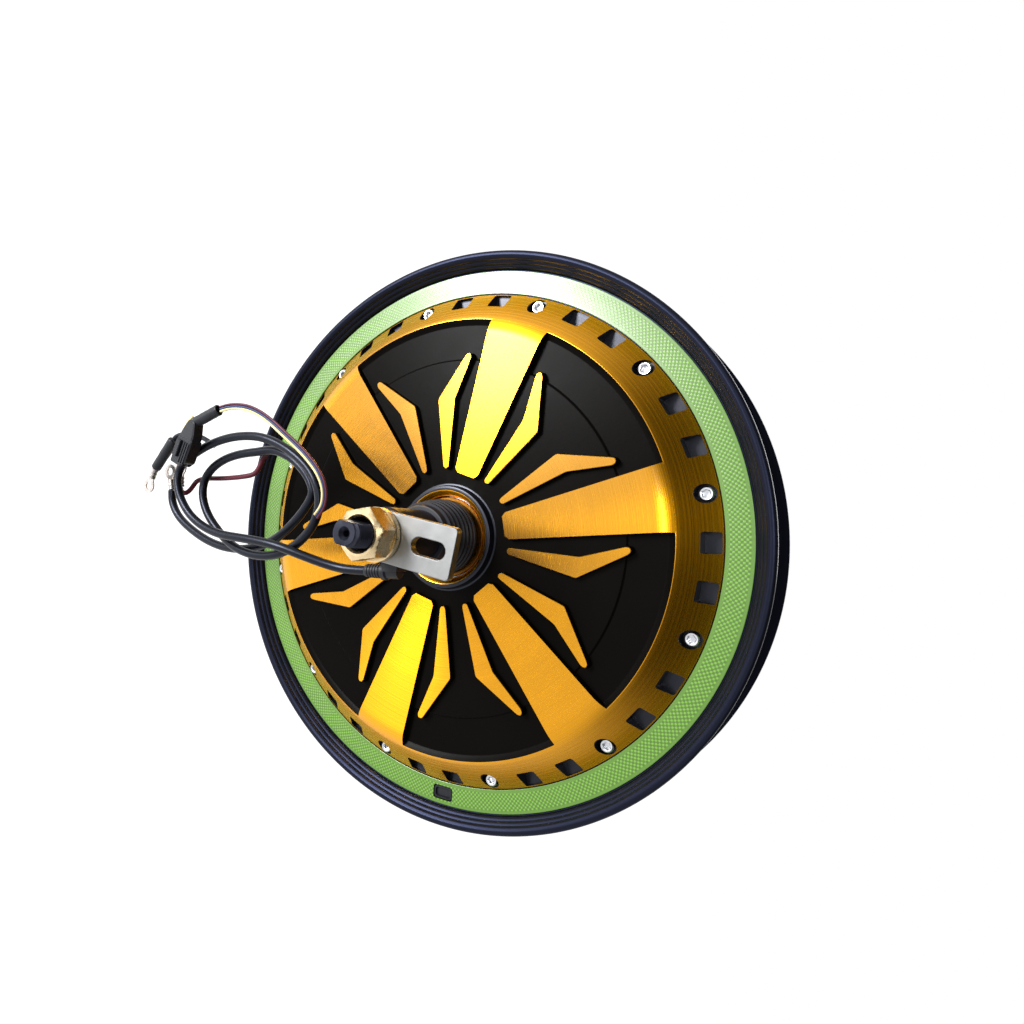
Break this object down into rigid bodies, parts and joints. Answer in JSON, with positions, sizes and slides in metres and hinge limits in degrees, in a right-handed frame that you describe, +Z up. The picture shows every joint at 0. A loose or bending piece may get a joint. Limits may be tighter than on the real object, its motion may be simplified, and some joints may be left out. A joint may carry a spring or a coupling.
{
  "type": "hub motor wheel",
  "caption": "Bare-rim direct-drive hub motor wheel with a gold spoked cover, green reflective band, threaded axle, torque plate and motor cable.",
  "frame": {"origin": "centre of the wheel: where the spin axis meets the mid-plane of the rim", "axes": "+Y along the spin axis, out of the plain rear cover; the machined cover faces -Y; +Z up, with the motor cable hanging down"},
  "size_m": [0.2878, 0.2063, 0.3105],
  "materials": {
    "black_rim": "gloss black paint",
    "gold_cover": "machined and gold lacquered, black painted panels",
    "black_cover": "satin black paint",
    "green_reflector": "reflective tape with a fine embossed cell pattern",
    "black_steel": "black oxide",
    "zinc": "zinc plated",
    "yellow_zinc": "pale yellow zinc plated",
    "bearing_steel": "ground",
    "screw_steel": "bright",
    "iron": "machined",
    "laminations": "stamped sheet",
    "copper": "enamelled wire",
    "magnet": "nickel plated",
    "aluminium": "cast",
    "black_rubber": "moulded",
    "black_cable": "satin",
    "thin_wires": "insulated wires",
    "black_plastic": "moulded",
    "tinned_copper": "tinned",
    "board": "solder mask",
    "brown_seal": "golden brown plated"
  },
  "bodies": {
    "stator": {"axle": "black_steel", "stator_carrier": "aluminium", "stator_core": "laminations", "front_winding": "copper", "rear_winding": "copper", "hall_board": "board", "internal_lead": "black_cable", "cable_collar": "black_rubber", "front_spacer": "black_steel", "rear_spacer": "black_steel", "cable_gland": "black_rubber", "torque_plate": "zinc", "front_washer": "yellow_zinc", "front_nut": "yellow_zinc", "rear_washer": "yellow_zinc", "rear_nut": "yellow_zinc", "front_bearing_inner": "bearing_steel", "rear_bearing_inner": "bearing_steel", "motor_cable": "black_cable", "hall_wires": "thin_wires", "phase_wire": "black_cable", "second_phase_wire": "black_cable", "hall_plug": "black_plastic", "terminal_sleeve": "black_plastic", "ring_terminal_1": "tinned_copper", "ring_terminal_2": "tinned_copper", "ring_terminal_3": "tinned_copper"},
    "wheel": {"motor_shell": "black_rim", "front_flange": "black_rim", "rear_flange": "black_rim", "reflective_band": "green_reflector", "valve_plug": "black_rubber", "front_cover": "gold_cover", "rear_cover": "black_cover", "rotor_ring": "iron", "magnet_ring": "magnet", "front_bearing_outer": "bearing_steel", "rear_bearing_outer": "bearing_steel", "front_seal": "brown_seal", "rear_seal": "brown_seal", "cover_screw_1": "screw_steel", "cover_screw_2": "screw_steel", "cover_screw_3": "screw_steel", "cover_screw_4": "screw_steel", "cover_screw_5": "screw_steel", "cover_screw_6": "screw_steel", "cover_screw_7": "screw_steel", "cover_screw_8": "screw_steel", "cover_screw_9": "screw_steel", "cover_screw_10": "screw_steel", "cover_screw_11": "screw_steel", "cover_screw_12": "screw_steel", "rear_screw_1": "screw_steel", "rear_screw_2": "screw_steel", "rear_screw_3": "screw_steel", "rear_screw_4": "screw_steel", "rear_screw_5": "screw_steel", "rear_screw_6": "screw_steel"},
    "ball_cages": {"front_ball_cage": "bearing_steel", "rear_ball_cage": "bearing_steel"}
  },
  "joints": [
    {"name": "wheel_spin", "type": "hinge", "parent": "stator", "child": "wheel", "pos_m": [0, 0, 0], "axis": [0, -1, 0], "continuous": true},
    {"name": "cage_spin", "type": "hinge", "parent": "stator", "child": "ball_cages", "pos_m": [0, 0, 0], "axis": [0, -1, 0], "continuous": true}
  ],
  "couplings": [
    {"joint": "cage_spin", "follows": "wheel_spin", "ratio": 0.607}
  ]
}
